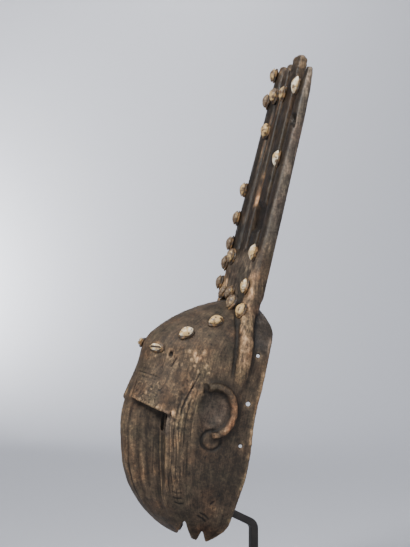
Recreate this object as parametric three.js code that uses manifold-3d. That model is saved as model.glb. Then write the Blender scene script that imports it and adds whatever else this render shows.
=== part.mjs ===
// A carved wooden face mask with a comb crest and set cowrie shells, held up by a bent square rod
// on a flat foot. Millimetres, +Z up. The face looks along -Y and leans back; its own left is +X.
// The origin is the middle of the foot's underside.
import * as THREE from 'three';
import { mergeVertices } from 'three/addons/utils/BufferGeometryUtils.js';
import Module from 'manifold-3d';

const wasm = await Module();
wasm.setup();

// The stand
const barWidth = 9.5;
const barY = 20;
const barBendHeight = 97;
const barBendRadius = 11;
const armSlope = 0.482;
const armElbowY = -70;
const barTopLength = 250;
const footLength = 184;
const footWidth = 140;
const footThickness = 12;
const footCorner = 10;
const footMiddleY = -14;
const touchGap = 0.3;

// The mask's own frame: x across, f forward from the rim plane, w up along the leaning rim
const rimFootY = -27.4;
const rimFootZ = 109.7;
const maskLean = THREE.MathUtils.degToRad(10.35);

// The hollow helmet
const halfWidth = 70;
const faceDepth = 141;
const noseBulge = { extra: 16.5, w: 112, spread: 58 };
const foreheadBulge = { extra: 3.5, w: 210, spread: 26 };
const lowEnd = -40;
const highEnd = 283;
const widthCaps = { lowFlat: 60, lowPower: 2.3, highFlat: 208, highPower: 1.9 };
const depthCaps = { lowFlat: 60, lowPower: 1.97, highFlat: 196, highPower: 1.65 };
const sideWall = 11;
const frontWall = 14;
const endInset = 0.6;
const rimWaist = { cut: 6, w: 122, spread: 52 };
const rimJaw = { start: 95, cut: 11, chinStart: -8, chinCut: 20 };
const rimTop = { start: 232, cut: 22 };
const rimFlare = { reach: 4.5, w: 243, spread: 15 };

// The mouth end
const mouth = { halfWidth: 22, front: 56 };
const notchTurn = 62;
const notchReach = { left: 88, right: 46 };
const notches = [
  { x: 40, f: 67, w: -10, halfAngle: 23 },
  { x: 42, f: 42, w: -19, halfAngle: 19 },
];
const wornJaw = [[-12, -62], [-15, -36], [-24, -14], [-38, 0], [-90, 4], [-90, -62]];

// The brow and what lies under it, as angles round the section from the middle of the face
const noseEdge = 10;
const browCorner = 38;
const browEnd = 50.5;
const browEdgeAt = { nose: 132, corner: 120, end: 114 };
const browLift = 3.5;
const browCornerLift = 3;
const browTop = 186;
const cheekRidge = { angle: 49.5, half: 7, lift: 3.6, low: -6, high: 176 };
const recess = { depth: 8, low: -10, grooveAngle: 38.5, endAngle: 44 };
const eyeSlit = { angle: 40, low: 93, high: 121, width: 4 };

// The ears, as places on the side wall
const ear = { w: 131, f: 62, rw: 31, rf: 25, from: -28, to: 176, ridge: 5.8, height: 7.2 };
const earHollow = { w: 136, f: 67, rw: 26, rf: 19, depth: 6.5 };
const earRing = { w: 94, f: 60, radius: 12.3, groove: 1.9 };

// The raised bands that carry the outer horns down the sides of the head
const root = { f: 35, low: 152, meets: 284, high: 312, half: 9.8, fade: 46, sink: 9.6 };

// Holes near the rim, for cords, drilled slanting forwards and outwards
const rimHoleTilt = 25;
const rimHoles = [
  { w: 246, f: 15, r: 1.4 },
  { w: 209, f: 17, r: 2.9 },
  { w: 147, f: 20, r: 3.2 },
  { w: 93, f: 21, r: 2.9 },
];

// The comb crest: its middle plane, its solid base and its four horns
const comb = { f: 20.9, w: 291, slope: 0.082, baseLow: 250, baseHigh: 346, halfWidth: 50 };
const horns = {
  near: { x: 39, hx: 12, hf: [11.5, 10.5, 8.5, 8], top: 592, tip: 50, power: 2.6, drift: 0 },
  middle: { x: 12, hx: 12, hf: [10.5, 9, 7.5, 7], top: 611, tip: 5, power: 5, drift: -6 },
  inner: { x: -11.5, hx: 8.5, hf: [10.5, 9, 7.5, 6.5], top: 601, tip: 16, power: 4, drift: -7 },
  far: { x: -38, hx: 13, hf: [11.5, 10.5, 8.5, 7.5], top: 599, tip: 26, power: 2.6, drift: -1 },
};
const combHollow = { x: 10, half: 15, w: 388, halfHeight: 22, depth: 7 };

// One shell, and where the shells are set
const shell = { length: 18, width: 12, height: 8 };
const foreheadShells = {
  left: [{ w: 198, angle: 20 }, { w: 222, angle: 36 }, { w: 243, angle: 47.5 }],
  right: [{ w: 203, angle: 14 }, { w: 217, angle: 38 }, { w: 240, angle: 50 }],
};
const combShells = [
  { horn: 'near', w: 466, dx: -8 },
  { horn: 'near', w: 340, dx: -5 },
  { horn: 'near', w: 295, dx: -3 },
  { horn: 'near', w: 565, dx: -7 },
  { horn: 'middle', w: 557, dx: -10 },
  { horn: 'far', w: 586, dx: -7 },
  { horn: 'far', w: 550, dx: -7 },
  { horn: 'far', w: 557, dx: 8 },
  { horn: 'far', w: 508, dx: 9 },
  { horn: 'far', w: 427, dx: -8 },
  { horn: 'far', w: 388, dx: -8 },
  { horn: 'far', w: 353, dx: -8 },
  { horn: 'far', w: 336, dx: 6 },
  { horn: 'far', w: 327, dx: -9 },
  { horn: 'far', w: 300, dx: -9 },
];
const baseShells = [
  { x: -25, f: 30, w: 284 },
  { x: -6, f: 30, w: 284 },
  { x: 29, f: 36, w: 267 },
  { x: 44, f: 32, w: 259 },
];

const rad = THREE.MathUtils.degToRad;
const bell = (d, spread) => Math.exp(-((d / spread) ** 2));
const smooth = (a, b, v) => THREE.MathUtils.smoothstep(v, Math.min(a, b), Math.max(a, b));
const lerp = THREE.MathUtils.lerp;

// A point of the mask's frame as a vector: forward is -Y, up the rim is +Z
const point = (x, f, w) => new THREE.Vector3(x, -f, w);

// The share of full size at a height, falling to nothing at both ends
function cap(w, caps, inset) {
  const low = (caps.lowFlat - w) / (caps.lowFlat - lowEnd - inset);
  const high = (w - caps.highFlat) / (highEnd - inset - caps.highFlat);
  if (low > 0) return Math.max(0, 1 - low ** caps.lowPower) ** (1 / caps.lowPower);
  if (high > 0) return Math.max(0, 1 - high ** caps.highPower) ** (1 / caps.highPower);
  return 1;
}

function rimPlace(w) {
  const waist = rimWaist.cut * bell(w - rimWaist.w, rimWaist.spread);
  const jaw = rimJaw.cut * (1 - smooth(0, rimJaw.start, w));
  const chin = Math.max(0, (rimJaw.chinStart - w) / (rimJaw.chinStart - lowEnd));
  const top = Math.max(0, (w - rimTop.start) / (highEnd - rimTop.start));
  const flare = rimFlare.reach * bell(w - rimFlare.w, rimFlare.spread);
  return waist + jaw + rimJaw.chinCut * chin ** 1.6 + rimTop.cut * top ** 2.4 - flare;
}

// The helmet's surface at a height and an angle round the section, or the hollow's with an inset
function helmet(w, angle, inset = 0) {
  const sideInset = inset * sideWall;
  const frontInset = inset * frontWall;
  const brow = foreheadBulge.extra * bell(w - foreheadBulge.w, foreheadBulge.spread);
  const bulge = noseBulge.extra * bell(w - noseBulge.w, noseBulge.spread) + brow;
  const rim = rimPlace(w);
  const width = (halfWidth - sideInset) * cap(w, widthCaps, sideInset);
  const depth = (faceDepth - frontInset + bulge) * cap(w, depthCaps, sideInset);
  const forward = Math.max(depth - rim, 0.5);
  return point(width * Math.sin(rad(angle)), rim + forward * Math.cos(rad(angle)), w);
}

function helmetNormal(w, angle) {
  const dw = helmet(w + 0.5, angle).sub(helmet(w - 0.5, angle));
  const da = helmet(w, angle + 0.5).sub(helmet(w, angle - 0.5));
  return dw.cross(da).multiplyScalar(-1).normalize();
}

const onHelmet = (w, angle, lift) => helmet(w, angle).addScaledVector(helmetNormal(w, angle), lift);

// The angle at which the surface stands f forward of the rim plane
function angleAt(w, f) {
  const rim = rimPlace(w);
  const front = -helmet(w, 0).y;
  return THREE.MathUtils.radToDeg(Math.acos(THREE.MathUtils.clamp((f - rim) / (front - rim), 0, 1)));
}

// A solid from vertices and triangles
function solid(positions, indices) {
  const geometry = new THREE.BufferGeometry();
  const numbers = positions.flatMap((p) => p.toArray());
  geometry.setAttribute('position', new THREE.Float32BufferAttribute(numbers, 3));
  geometry.setIndex(indices);
  return fromGeometry(geometry);
}

function fromGeometry(source) {
  const geometry = source.clone();
  geometry.deleteAttribute('normal');
  geometry.deleteAttribute('uv');
  const merged = mergeVertices(geometry, 1e-4);
  const made = new wasm.Manifold(new wasm.Mesh({
    numProp: 3,
    vertProperties: new Float32Array(merged.attributes.position.array),
    triVerts: new Uint32Array(merged.index.array),
  }));
  return made.volume() < 0 ? inverted(merged) : made;
}

function inverted(merged) {
  const turned = new Uint32Array(merged.index.array);
  for (let i = 0; i < turned.length; i += 3) [turned[i], turned[i + 1]] = [turned[i + 1], turned[i]];
  return new wasm.Manifold(new wasm.Mesh({
    numProp: 3,
    vertProperties: new Float32Array(merged.attributes.position.array),
    triVerts: turned,
  }));
}

function toGeometry(manifold) {
  const mesh = manifold.getMesh();
  const geometry = new THREE.BufferGeometry();
  geometry.setAttribute('position', new THREE.Float32BufferAttribute(mesh.vertProperties, 3));
  geometry.setIndex(new THREE.Uint32BufferAttribute(mesh.triVerts, 1));
  return geometry;
}

// A closed solid through a stack of rings, each with the same number of points
function loft(rings) {
  const count = rings[0].length;
  const positions = rings.flat();
  const indices = [];
  for (let r = 0; r + 1 < rings.length; r++) {
    for (let i = 0; i < count; i++) {
      const j = (i + 1) % count;
      const [a, b, c, d] = [r * count + i, r * count + j, (r + 1) * count + j, (r + 1) * count + i];
      indices.push(a, b, c, a, c, d);
    }
  }
  const middle = (ring) => ring.reduce((sum, p) => sum.add(p), new THREE.Vector3()).divideScalar(count);
  const first = positions.push(middle(rings[0])) - 1;
  const last = positions.push(middle(rings[rings.length - 1])) - 1;
  const top = (rings.length - 1) * count;
  for (let i = 0; i < count; i++) {
    const j = (i + 1) % count;
    indices.push(first, j, i, last, top + i, top + j);
  }
  return solid(positions, indices);
}

// A solid that follows the helmet: at(u, v) gives a height, an angle and how far it stands out and in
function patch(nu, nv, at) {
  const positions = [];
  const indices = [];
  for (const outer of [true, false]) {
    for (let u = 0; u <= nu; u++) {
      for (let v = 0; v <= nv; v++) {
        const { w, angle, out, inn } = at(u / nu, v / nv);
        positions.push(onHelmet(w, angle, outer ? out : inn));
      }
    }
  }
  const size = (nu + 1) * (nv + 1);
  const id = (u, v, side) => side * size + u * (nv + 1) + v;
  const quad = (a, b, c, d) => indices.push(a, b, c, a, c, d);
  for (let u = 0; u < nu; u++) {
    for (let v = 0; v < nv; v++) {
      quad(id(u, v, 0), id(u + 1, v, 0), id(u + 1, v + 1, 0), id(u, v + 1, 0));
      quad(id(u, v, 1), id(u, v + 1, 1), id(u + 1, v + 1, 1), id(u + 1, v, 1));
    }
  }
  for (let u = 0; u < nu; u++) {
    quad(id(u, 0, 0), id(u, 0, 1), id(u + 1, 0, 1), id(u + 1, 0, 0));
    quad(id(u, nv, 0), id(u + 1, nv, 0), id(u + 1, nv, 1), id(u, nv, 1));
  }
  for (let v = 0; v < nv; v++) {
    quad(id(0, v, 0), id(0, v + 1, 0), id(0, v + 1, 1), id(0, v, 1));
    quad(id(nu, v, 0), id(nu, v, 1), id(nu, v + 1, 1), id(nu, v + 1, 0));
  }
  return solid(positions, indices);
}

const spread = (count, from, to) => Array.from({ length: count }, (_, i) => lerp(from, to, i / (count - 1)));

// Heights for the sections, closer together where the ends close
function sectionHeights(count, low, high) {
  const evenShare = 0.45;
  return spread(count, 0, Math.PI).map((t) => {
    const closerAtEnds = 0.5 - 0.5 * Math.cos(t);
    return lerp(low, high, lerp(closerAtEnds, t / Math.PI, evenShare));
  });
}

function helmetOutside() {
  const angles = spread(35, -90, 90);
  const heights = sectionHeights(28, lowEnd + endInset, highEnd - endInset);
  return loft(heights.map((w) => angles.map((a) => helmet(w, a))));
}

function helmetHollow() {
  const angles = spread(13, -90, 90);
  const [low, high] = [lowEnd + sideWall + endInset, highEnd - sideWall - endInset];
  const back = -80;
  const rings = sectionHeights(12, low, high).map((w) => {
    const arc = angles.map((a) => helmet(w, a, 1));
    const left = arc[0];
    const right = arc[arc.length - 1];
    return [point(left.x, back, w), ...arc, point(right.x, back, w)];
  });
  return loft(rings);
}

// The open mouth below
function mouthOpening() {
  const ring = (w) => spread(12, -90, 90)
    .map((a) => point(mouth.halfWidth * Math.sin(rad(a)), mouth.front * Math.cos(rad(a)) ** 0.6, w))
    .concat([point(mouth.halfWidth, -30, w), point(-mouth.halfWidth, -30, w)]);
  return loft([ring(lowEnd - 20), ring(-12)]);
}

// A notch cut through the jaw, which leaves three lobes on each side; the left ones run on through the chin
function notch(side, { x, f, w, halfAngle }) {
  const drop = 40;
  const half = drop * Math.tan(rad(halfAngle));
  const [inX, inF] = [Math.sin(rad(notchTurn)), Math.cos(rad(notchTurn))];
  const face = (depth) => [[0, 0.4], [0, -0.4], [-drop, -half], [-drop, half]].map(([down, over]) => point(
    side * (x - depth * inX + over * inF), f - depth * inF - over * inX, w + down));
  return loft([face(-30), face(side > 0 ? notchReach.left : notchReach.right)]);
}

// The right side of the jaw is worn away higher up
function wear() {
  const outline = (f) => wornJaw.map(([x, w]) => point(x, f, w));
  return loft([outline(-40), outline(120)]);
}

// The brow: one block each side, square at its corner, undercut below and merged into the forehead
function browEdge(angle) {
  const toCorner = THREE.MathUtils.clamp((angle - noseEdge) / (browCorner - noseEdge), 0, 1);
  const pastCorner = THREE.MathUtils.clamp((angle - browCorner) / (browEnd - browCorner), 0, 1);
  return lerp(lerp(browEdgeAt.nose, browEdgeAt.corner, toCorner), browEdgeAt.end, pastCorner);
}

function brow(side) {
  return patch(8, 5, (u, v) => {
    const angle = lerp(0, browEnd, u);
    const low = browEdge(angle);
    const w = lerp(low, browTop, v);
    const corner = browCornerLift * bell(angle - browCorner, 9);
    const end = 1 - 0.5 * smooth(browEnd - 9, browEnd, angle);
    const out = (browLift * smooth(2, 16, angle) + corner) * (1 - v) ** 0.8 * end + 0.15 - 0.6 * v;
    return { w, angle: side * angle, out, inn: -6 };
  });
}

// The sunk face beside the nose, from under the brow down to the mouth
function faceHollow(side) {
  return patch(10, 7, (u, v) => {
    const fromNose = lerp(noseEdge, recess.endAngle, u);
    const top = browEdge(fromNose) - 0.01;
    const w = lerp(recess.low, top, v);
    const taper = lerp(0.72, 1, smooth(-10, 45, w));
    const angle = noseEdge + (fromNose - noseEdge) * taper;
    const sides = smooth(0, 0.22, u) * (1 - smooth(0.84, 1, u) * 0.9);
    const groove = 2.5 * bell(fromNose - recess.grooveAngle, 3.5);
    const depth = (recess.depth * sides + groove) * smooth(recess.low, 40, w);
    return { w, angle: side * angle, out: 14, inn: -depth - 0.2 };
  });
}

function cheek(side) {
  return patch(4, 7, (u, v) => {
    const w = lerp(cheekRidge.low, cheekRidge.high, v);
    const across = 2 * u - 1;
    const ends = smooth(cheekRidge.low, 66, w) * (1 - smooth(130, cheekRidge.high, w));
    const out = cheekRidge.lift * ends * (1 - across ** 2) - 0.4 * (1 - ends) - 0.3;
    return { w, angle: side * (cheekRidge.angle + across * cheekRidge.half), out, inn: -4 };
  });
}

function eye(side) {
  const half = THREE.MathUtils.radToDeg(eyeSlit.width / 2 / 100);
  return patch(1, 3, (u, v) => {
    const narrow = v < 0.1 || v > 0.9 ? 0.4 : 1;
    const angle = eyeSlit.angle + (2 * u - 1) * half * narrow;
    return { w: lerp(eyeSlit.low, eyeSlit.high, v), angle: side * angle, out: 10, inn: -30 };
  });
}

// A ridge or groove swept along a path of places on the side wall
function sweepOnSide(side, path, half, rise, sink, sides = 8) {
  const centres = path.map(({ w, f }) => onHelmet(w, side * angleAt(w, f), 0));
  const normals = path.map(({ w, f }) => helmetNormal(w, side * angleAt(w, f)));
  const closed = centres[0].distanceTo(centres[centres.length - 1]) < 0.01;
  const count = closed ? centres.length - 1 : centres.length;
  const rings = [];
  for (let i = 0; i < count; i++) {
    const before = closed ? (i + count - 1) % count : Math.max(i - 1, 0);
    const after = closed ? (i + 1) % count : Math.min(i + 1, count - 1);
    const along = centres[after].clone().sub(centres[before]).normalize();
    const across = along.cross(normals[i]).normalize();
    rings.push(spread(sides + 1, 0, 360).slice(0, sides).map((t) => {
      const up = Math.sin(rad(t));
      return centres[i].clone().addScaledVector(across, half * Math.cos(rad(t)))
        .addScaledVector(normals[i], up > 0 ? rise * up : sink * up);
    }));
  }
  return closed ? closedSweep(rings) : loft(rings);
}

function closedSweep(rings) {
  const sides = rings[0].length;
  const positions = rings.flat();
  const indices = [];
  for (let r = 0; r < rings.length; r++) {
    const next = (r + 1) % rings.length;
    for (let i = 0; i < sides; i++) {
      const j = (i + 1) % sides;
      const [a, b, c, d] = [r * sides + i, r * sides + j, next * sides + j, next * sides + i];
      indices.push(a, b, c, a, c, d);
    }
  }
  return solid(positions, indices);
}

function earRidge(side) {
  const path = spread(11, ear.from, ear.to).map((t) => ({
    w: ear.w + ear.rw * Math.cos(rad(t)),
    f: ear.f - ear.rf * Math.sin(rad(t)),
  }));
  return sweepOnSide(side, path, ear.ridge, ear.height, 5, 6);
}

function earBowl(side) {
  const rings = [0.25, 0.6, 1].map((share) => spread(13, 0, 360).slice(0, 12).map((t) => {
    const w = earHollow.w + earHollow.rw * share * Math.cos(rad(t));
    const f = earHollow.f + earHollow.rf * share * Math.sin(rad(t));
    return onHelmet(w, side * angleAt(w, f), -earHollow.depth * (1 - share ** 2) - 0.05);
  }));
  const above = spread(13, 0, 360).slice(0, 12).map((t) => {
    const w = earHollow.w + earHollow.rw * Math.cos(rad(t));
    const f = earHollow.f + earHollow.rf * Math.sin(rad(t));
    return onHelmet(w, side * angleAt(w, f), 9);
  });
  return loft([...rings, above]);
}

function ringGroove(side) {
  const path = spread(15, 0, 360).map((t) => ({
    w: earRing.w + earRing.radius * Math.cos(rad(t)),
    f: earRing.f + earRing.radius * Math.sin(rad(t)),
  }));
  return sweepOnSide(side, path, earRing.groove, 3, earRing.groove, 4);
}

// An outer horn's root, which runs down the side of the head and sinks into it
function hornRoot(horn, side) {
  const heights = [root.low, 166, 180, 194, 210, 226, 242, 254, 264, 274, root.meets, 298, root.high];
  return loft(heights.map((w) => {
    const combF = comb.f - (w - comb.w) * comb.slope;
    const f = lerp(root.f, combF, smooth(236, root.meets, w));
    const onSide = w < highEnd - 8 ? helmet(w, angleAt(w, f)).x : 0;
    const sink = root.sink * (1 - smooth(root.low, root.low + root.fade, w));
    const wrap = 0.4 - 1.6 * smooth(root.meets, root.high, w);
    const half = lerp(root.half, horn.hx + wrap, smooth(250, root.meets, w));
    const out = Math.max(onSide, Math.abs(horn.x)) - sink;
    return superRing({ x: side * out, f, hx: half, hf: half }, w, 2.3, 10);
  }));
}

function rimHole(side, { w, f, r }) {
  const centre = onHelmet(w, side * angleAt(w, f), 0);
  const hole = new THREE.CylinderGeometry(r, r, 60, 8);
  hole.rotateZ(Math.PI / 2 - side * rad(rimHoleTilt));
  hole.translate(centre.x, centre.y, centre.z);
  return fromGeometry(hole);
}

// A horn's middle and half sizes at a height
function hornSection(horn, w) {
  const t = THREE.MathUtils.clamp((w - comb.w) / (horn.top - comb.w), 0, 1) * (horn.hf.length - 1);
  const i = Math.min(Math.floor(t), horn.hf.length - 2);
  const tip = THREE.MathUtils.clamp((horn.top - w) / horn.tip, 0, 1) ** 0.6;
  const taper = lerp(0.4, 1, tip);
  return {
    x: horn.x + horn.drift * t / (horn.hf.length - 1),
    f: comb.f - (w - comb.w) * comb.slope,
    hx: horn.hx * taper * lerp(1, 0.92, t / (horn.hf.length - 1)),
    hf: lerp(horn.hf[i], horn.hf[i + 1], t - i) * taper,
  };
}

function superRing(section, w, power, count) {
  return spread(count + 1, 0, 360).slice(0, count).map((t) => {
    const [c, s] = [Math.cos(rad(t)), Math.sin(rad(t))];
    const x = section.hx * Math.sign(c) * Math.abs(c) ** (2 / power);
    const f = section.hf * Math.sign(s) * Math.abs(s) ** (2 / power);
    return point(section.x + x, section.f + f, w);
  });
}

function hornSolid(horn) {
  const heights = [root.meets - 1, 300, 345, 400, 460, 520, 560, horn.top - 16, horn.top - 5, horn.top];
  return loft(heights.map((w) => superRing(hornSection(horn, w), w, horn.power, 12)));
}

function combBase() {
  const heights = [comb.baseLow, 275, 300, 325, comb.baseHigh - 8, comb.baseHigh];
  return loft(heights.map((w) => {
    const shrink = w > comb.baseHigh - 10 ? (w - comb.baseHigh + 10) * 0.25 : 0;
    const f = comb.f - (w - comb.w) * comb.slope;
    return superRing({ x: 0, f, hx: comb.halfWidth - shrink, hf: 10 - shrink }, w, 6, 20);
  }));
}

function combPit() {
  const rows = [-1, -0.6, 0.6, 1].map((v) => {
    const w = combHollow.w + v * combHollow.halfHeight;
    const half = combHollow.half * (Math.abs(v) > 0.9 ? 0.5 : 1);
    const front = comb.f - (w - comb.w) * comb.slope + 14;
    const floor = front - 4 - combHollow.depth * (Math.abs(v) > 0.9 ? 0.4 : 1);
    return [
      point(combHollow.x - half, front, w), point(combHollow.x + half, front, w),
      point(combHollow.x + half * 0.8, floor, w), point(combHollow.x - half * 0.8, floor, w),
    ];
  });
  return loft(rows);
}

function carvedMask() {
  let wood = helmetOutside();
  for (const side of [1, -1]) {
    wood = wood.add(brow(side)).subtract(faceHollow(side)).add(cheek(side));
    wood = wood.subtract(earBowl(side)).add(earRidge(side)).subtract(ringGroove(side));
  }
  wood = wood.add(combBase()).add(hornRoot(horns.near, 1)).add(hornRoot(horns.far, -1));
  for (const horn of Object.values(horns)) wood = wood.add(hornSolid(horn));
  wood = wood.subtract(combPit()).subtract(helmetHollow()).subtract(mouthOpening()).subtract(wear());
  for (const side of [1, -1]) {
    for (const cut of notches) wood = wood.subtract(notch(side, cut));
    wood = wood.subtract(eye(side));
    for (const hole of rimHoles) wood = wood.subtract(rimHole(side, hole));
  }
  return wood.decompose().sort((a, b) => b.volume() - a.volume())[0];
}

// A cowrie: an egg shape, flat below, with its length along its own Z and its back along -Y
function cowrieGeometry() {
  const levels = [[0, 0.86], [0.45, 1]];
  const around = spread(9, 0, 360).slice(0, 8);
  const rings = levels.map(([height, size]) => around.map((t) => {
    const along = Math.sin(rad(t));
    const egg = 1 + 0.12 * along;
    const x = shell.width / 2 * size * Math.cos(rad(t)) * egg;
    return new THREE.Vector3(x, -height * shell.height, shell.length / 2 * size * along);
  }));
  rings.push(around.map((t) => new THREE.Vector3(
    shell.width * 0.26 * Math.cos(rad(t)), -shell.height, shell.length * 0.26 * Math.sin(rad(t)))));
  return toGeometry(loft(rings));
}

function hornFront(horn, w, dx) {
  const section = hornSection(horn, w);
  const share = Math.min(Math.abs(dx / section.hx), 0.95) ** horn.power;
  return point(section.x + dx, section.f + section.hf * (1 - share) ** (1 / horn.power), w);
}

const materials = {
  wood: { color: 0x463b33, roughness: 0.75, metalness: 0 },
  shell: { color: 0xe2d8c2, roughness: 0.35, metalness: 0 },
  steel: { color: 0x1d1b1a, roughness: 0.5, metalness: 0.6 },
};

function named(name, geometry, material) {
  const mesh = new THREE.Mesh(geometry, new THREE.MeshStandardMaterial(materials[material]));
  mesh.name = name;
  return mesh;
}

// A shell seated at a point, its back along the normal and its length along a direction
function seatShell(name, wood, seat, normal, along) {
  const mesh = named(name, cowrieGeometry(), 'shell');
  const y = normal.clone().normalize().multiplyScalar(-1);
  const z = along.clone().addScaledVector(y, -along.dot(y)).normalize();
  const x = y.clone().cross(z);
  mesh.quaternion.setFromRotationMatrix(new THREE.Matrix4().makeBasis(x, y, z));
  mesh.position.copy(seat).addScaledVector(y, shell.height / 2);
  mesh.updateMatrix();
  const shape = fromGeometry(mesh.geometry).transform(mesh.matrix.elements);
  const step = 0.25;
  const movedOut = (by) => shape.translate(y.clone().multiplyScalar(-by).toArray());
  let out = 0;
  while (wood.intersect(movedOut(out)).volume() > 0) out += step;
  mesh.position.addScaledVector(y, -out - touchGap);
  return mesh;
}

function foreheadRow(wood) {
  const row = [];
  for (const [side, word] of [[1, 'left'], [-1, 'right']]) {
    const places = foreheadShells[word];
    places.forEach(({ w, angle }, i) => {
      const seat = helmet(w, side * angle);
      const outer = places[Math.min(i + 1, places.length - 1)];
      const inner = places[Math.max(i - 1, 0)];
      const level = i === 0 ? w : outer.w;
      const along = helmet(level, side * outer.angle).sub(helmet(i === 0 ? w : inner.w, side * inner.angle));
      const normal = helmetNormal(w, side * angle);
      row.push(seatShell(`forehead_cowrie_${word}_${i + 1}`, wood, seat, normal, along));
    });
  }
  return row;
}

function combRow(wood) {
  return combShells.map(({ horn, w, dx }, i) => {
    const seat = hornFront(horns[horn], w, dx);
    const lean = Math.atan(comb.slope);
    const normal = new THREE.Vector3(Math.sin(rad(dx * 2)), -Math.cos(rad(dx * 2)), Math.sin(lean));
    return seatShell(`comb_cowrie_${i + 1}`, wood, seat, normal, new THREE.Vector3(0, lean, 1));
  });
}

function baseRow(wood) {
  return baseShells.map(({ x, f, w }, i) => {
    const [normal, along] = [new THREE.Vector3(x * 0.01, -1, 0.4), new THREE.Vector3(0, 0.2, 1)];
    return seatShell(`base_cowrie_${i + 1}`, wood, point(x, f, w), normal, along);
  });
}

// The bar seen from the side: up from the foot, forward into the hollow, then up until it bears
function standRod(mask) {
  const half = barWidth / 2;
  const up = new THREE.Vector2(Math.sin(maskLean), Math.cos(maskLean));
  const elbow = new THREE.Vector2(armElbowY, barBendHeight + armSlope * (barY - armElbowY));
  const barTo = (topLength) => {
    const middle = roundedLine([
      new THREE.Vector2(barY, footThickness + touchGap),
      new THREE.Vector2(barY, barBendHeight),
      elbow,
      elbow.clone().addScaledVector(up, topLength),
    ], barBendRadius);
    const outline = new THREE.Shape(offsetLine(middle, half).concat(offsetLine(middle, -half).reverse()));
    const bar = new THREE.ExtrudeGeometry(outline, { depth: barWidth, bevelEnabled: false });
    bar.applyMatrix4(new THREE.Matrix4().set(0, 0, 1, -half, 1, 0, 0, 0, 0, 1, 0, 0, 0, 0, 0, 1));
    return fromGeometry(bar);
  };
  let topLength = barTopLength;
  while (mask.intersect(barTo(topLength)).volume() > 0) topLength -= 0.5;
  return named('stand_rod', toGeometry(barTo(topLength - touchGap)), 'steel');
}

// A line of points whose inner corners are rounded
function roundedLine(points, radius, steps = 4) {
  return points.flatMap((p, i) => {
    if (i === 0 || i === points.length - 1) return [p];
    const a = points[i - 1].clone().sub(p).normalize();
    const b = points[i + 1].clone().sub(p).normalize();
    const half = Math.acos(THREE.MathUtils.clamp(a.dot(b), -1, 1)) / 2;
    const back = radius / Math.tan(half);
    const centre = p.clone().addScaledVector(a.clone().add(b).normalize(), radius / Math.sin(half));
    const start = p.clone().addScaledVector(a, back).sub(centre);
    const end = p.clone().addScaledVector(b, back).sub(centre);
    const turn = Math.atan2(start.x * end.y - start.y * end.x, start.dot(end));
    const around = new THREE.Vector2();
    return spread(steps + 1, 0, turn).map((t) => start.clone().rotateAround(around, t).add(centre));
  });
}

// A line of points moved sideways, with mitred corners
function offsetLine(points, distance) {
  return points.map((p, i) => {
    const before = points[Math.max(i - 1, 0)];
    const after = points[Math.min(i + 1, points.length - 1)];
    const a = (i > 0 ? p.clone().sub(before) : after.clone().sub(p)).normalize();
    const b = (i < points.length - 1 ? after.clone().sub(p) : p.clone().sub(before)).normalize();
    const normal = new THREE.Vector2(-a.y - b.y, a.x + b.x).normalize();
    const stretch = distance / (normal.x * -a.y + normal.y * a.x);
    return p.clone().addScaledVector(normal, stretch);
  });
}

function standFoot() {
  const [l, w, r] = [footLength / 2, footWidth / 2, footCorner];
  const outline = new THREE.Shape();
  outline.moveTo(-w + r, -l);
  outline.lineTo(w - r, -l);
  outline.absarc(w - r, -l + r, r, -Math.PI / 2, 0);
  outline.lineTo(w, l - r);
  outline.absarc(w - r, l - r, r, 0, Math.PI / 2);
  outline.lineTo(-w + r, l);
  outline.absarc(-w + r, l - r, r, Math.PI / 2, Math.PI);
  outline.lineTo(-w, -l + r);
  outline.absarc(-w + r, -l + r, r, Math.PI, Math.PI * 1.5);
  const settings = { depth: footThickness, bevelEnabled: false, curveSegments: 5 };
  const plate = new THREE.ExtrudeGeometry(outline, settings);
  const foot = named('stand_foot', toGeometry(fromGeometry(plate)), 'steel');
  foot.position.set(0, footMiddleY, 0);
  return foot;
}

const leaningMask = new THREE.Group();
leaningMask.position.set(0, rimFootY, rimFootZ);
leaningMask.rotation.x = -maskLean;
const wood = carvedMask();
leaningMask.add(named('mask', toGeometry(wood), 'wood'));
leaningMask.add(...foreheadRow(wood), ...combRow(wood), ...baseRow(wood));
leaningMask.updateMatrix();

const object = new THREE.Group();
object.add(leaningMask, standRod(wood.transform(leaningMask.matrix.elements)), standFoot());

export default object;
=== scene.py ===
"""A carved wooden face mask with a comb crest and set cowrie shells, on a bent steel rod and a flat foot."""
import math

import bpy
import numpy as np
from mathutils import Matrix, Vector, noise


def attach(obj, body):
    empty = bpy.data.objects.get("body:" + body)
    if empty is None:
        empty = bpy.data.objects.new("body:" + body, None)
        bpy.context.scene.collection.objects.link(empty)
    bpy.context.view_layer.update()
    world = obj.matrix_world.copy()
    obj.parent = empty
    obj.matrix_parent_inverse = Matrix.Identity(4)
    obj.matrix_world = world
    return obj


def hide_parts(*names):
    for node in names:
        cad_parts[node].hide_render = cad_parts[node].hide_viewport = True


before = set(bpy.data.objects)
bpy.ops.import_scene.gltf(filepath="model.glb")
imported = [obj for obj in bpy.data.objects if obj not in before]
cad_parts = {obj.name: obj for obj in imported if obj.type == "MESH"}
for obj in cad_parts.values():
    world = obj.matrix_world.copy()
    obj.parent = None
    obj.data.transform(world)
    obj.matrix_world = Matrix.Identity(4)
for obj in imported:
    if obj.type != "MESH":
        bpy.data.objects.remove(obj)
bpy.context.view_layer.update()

# The mask's own frame, in millimetres: x across, f forward from the rim plane, w up along the leaning rim
RIM_FOOT = (0.0, -27.4, 109.7)
LEAN = math.radians(10.35)
MM = 1000

# The head's section is half an oval, which shrinks to nothing at both ends of its height
HALF_WIDTH = 70.0
FACE_DEPTH = 141.0
LOW_END, HIGH_END, END_GAP = -40.0, 283.0, 0.5
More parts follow.
